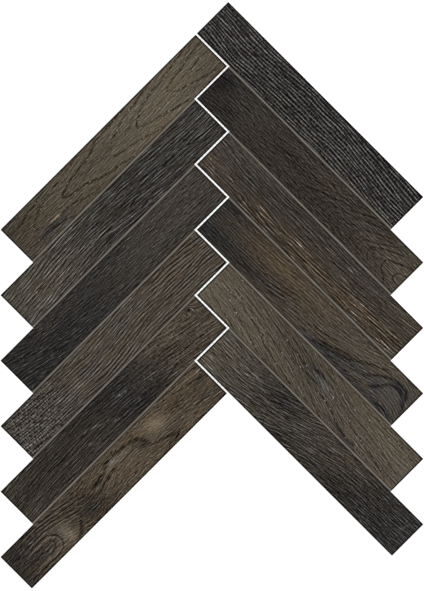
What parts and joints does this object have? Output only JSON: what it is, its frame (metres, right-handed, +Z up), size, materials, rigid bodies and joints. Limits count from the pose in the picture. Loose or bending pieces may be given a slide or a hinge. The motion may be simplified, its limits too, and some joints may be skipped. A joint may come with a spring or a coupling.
{
  "type": "herringbone floor tile",
  "caption": "Herringbone sheet of wood-look porcelain floor tile: two legs of narrow tiles, filled long joints, stepped interlocking edges and a net across the back.",
  "frame": {"origin": "under the middle of the sheet's bounding box, in the plane that the sheet lies on", "axes": "+X to the right across the two legs, +Y towards the point of the herringbone, +Z up out of the walking face"},
  "size_m": [0.4568, 0.6336, 0.0099],
  "materials": {
    "porcelain_charcoal": "matt through-coloured porcelain with a brushed wood-grain relief and a printed oak figure",
    "porcelain_umber": "matt through-coloured porcelain with a brushed wood-grain relief and a printed oak figure",
    "porcelain_walnut": "matt through-coloured porcelain with a brushed wood-grain relief and a printed oak figure",
    "porcelain_taupe": "matt through-coloured porcelain with a brushed wood-grain relief and a printed oak figure",
    "joint_filler": "matt warm grey",
    "glass_net": "white open glass-fibre net"
  },
  "bodies": {
    "root": {"tile_right_1": "porcelain_charcoal", "tile_right_2": "porcelain_umber", "tile_right_3": "porcelain_walnut", "tile_right_4": "porcelain_walnut", "tile_right_5": "porcelain_taupe", "tile_right_6": "porcelain_charcoal", "tile_left_1": "porcelain_taupe", "tile_left_2": "porcelain_charcoal", "tile_left_3": "porcelain_umber", "tile_left_4": "porcelain_walnut", "tile_left_5": "porcelain_umber", "tile_left_6": "porcelain_walnut", "joint_right_1": "joint_filler", "joint_right_2": "joint_filler", "joint_right_3": "joint_filler", "joint_right_4": "joint_filler", "joint_right_5": "joint_filler", "joint_left_1": "joint_filler", "joint_left_2": "joint_filler", "joint_left_3": "joint_filler", "joint_left_4": "joint_filler", "joint_left_5": "joint_filler", "backing_net": "glass_net"}
  },
  "joints": []
}
